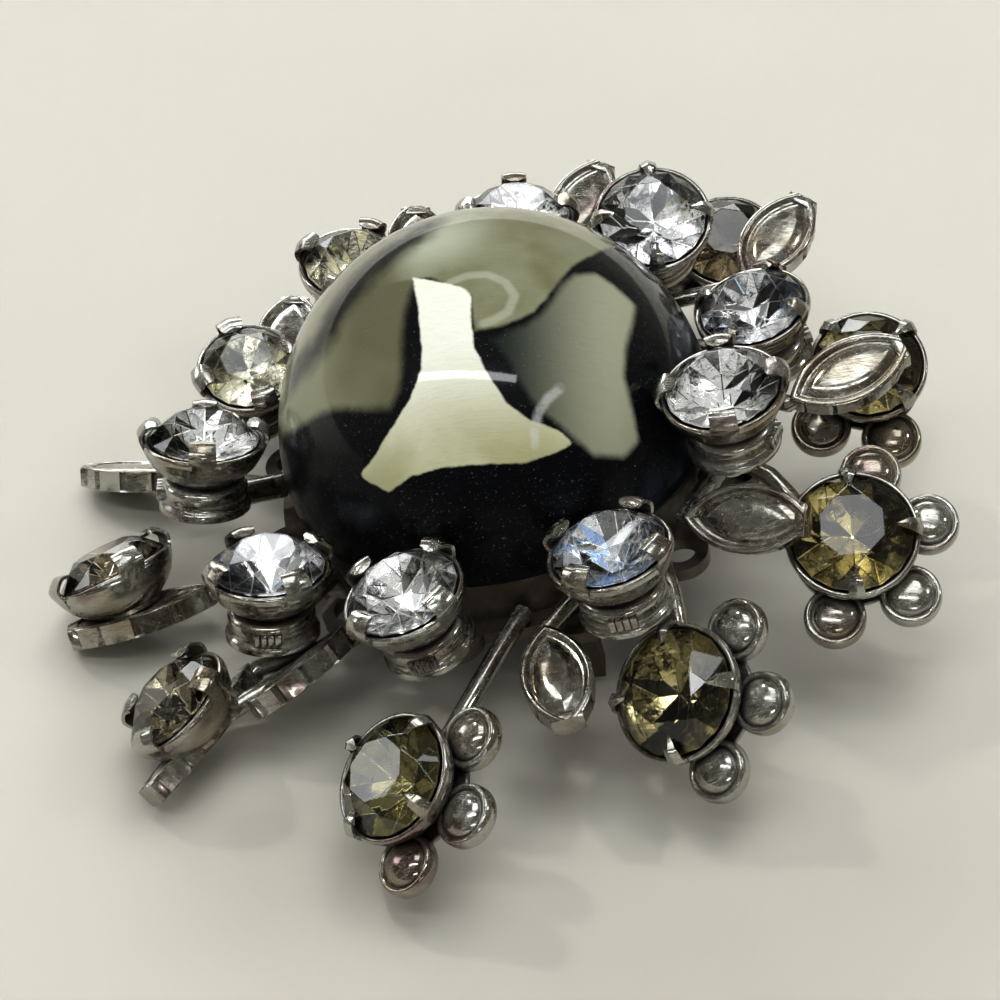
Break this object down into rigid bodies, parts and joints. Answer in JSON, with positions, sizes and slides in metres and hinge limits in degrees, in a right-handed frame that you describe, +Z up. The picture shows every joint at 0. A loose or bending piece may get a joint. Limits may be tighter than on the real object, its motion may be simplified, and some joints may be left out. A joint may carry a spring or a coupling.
{
  "type": "flower brooch",
  "caption": "Vintage flower brooch with a high domed mottled stone, an upper ring of clear stones and leaves, and a lower ring of smoky stones on petalled flowers, lying on its clasp.",
  "frame": {"origin": "centre of the bounding box, on the surface that the brooch lies on", "axes": "+Z up from that surface, +Y away from the side that the picture is taken from, +X to the picture's right; the brooch leans 12 degrees towards -X as it lies"},
  "size_m": [0.0515, 0.0554, 0.0205],
  "materials": {
    "dome": "glossy, with ivory, olive and blue-grey patches",
    "silvered_metal": "aged plating, dark in the recesses",
    "base_metal": "aged plating, darker",
    "clear_stones": "faceted, foiled back",
    "smoky_stones": "faceted, olive"
  },
  "bodies": {
    "root": {"dome_stone": "dome", "base_frame": "base_metal", "pin_clasp": "base_metal", "spray_1": "silvered_metal", "spray_2": "silvered_metal", "spray_3": "silvered_metal", "spray_4": "silvered_metal", "spray_5": "silvered_metal", "spray_6": "silvered_metal", "spray_7": "silvered_metal", "spray_8": "silvered_metal", "spray_9": "silvered_metal", "spray_10": "silvered_metal", "clear_setting_1": "silvered_metal", "clear_setting_2": "silvered_metal", "clear_setting_3": "silvered_metal", "clear_setting_4": "silvered_metal", "clear_setting_5": "silvered_metal", "clear_setting_6": "silvered_metal", "clear_setting_7": "silvered_metal", "clear_setting_8": "silvered_metal", "clear_setting_9": "silvered_metal", "clear_setting_10": "silvered_metal", "clear_stone_1": "clear_stones", "clear_stone_2": "clear_stones", "clear_stone_3": "clear_stones", "clear_stone_4": "clear_stones", "clear_stone_5": "clear_stones", "clear_stone_6": "clear_stones", "clear_stone_7": "clear_stones", "clear_stone_8": "clear_stones", "clear_stone_9": "clear_stones", "clear_stone_10": "clear_stones", "flower_1": "silvered_metal", "flower_2": "silvered_metal", "flower_3": "silvered_metal", "flower_4": "silvered_metal", "flower_5": "silvered_metal", "flower_6": "silvered_metal", "flower_7": "silvered_metal", "flower_8": "silvered_metal", "smoky_stone_1": "smoky_stones", "smoky_stone_2": "smoky_stones", "smoky_stone_3": "smoky_stones", "smoky_stone_4": "smoky_stones", "smoky_stone_5": "smoky_stones", "smoky_stone_6": "smoky_stones", "smoky_stone_7": "smoky_stones", "smoky_stone_8": "smoky_stones"}
  },
  "joints": []
}
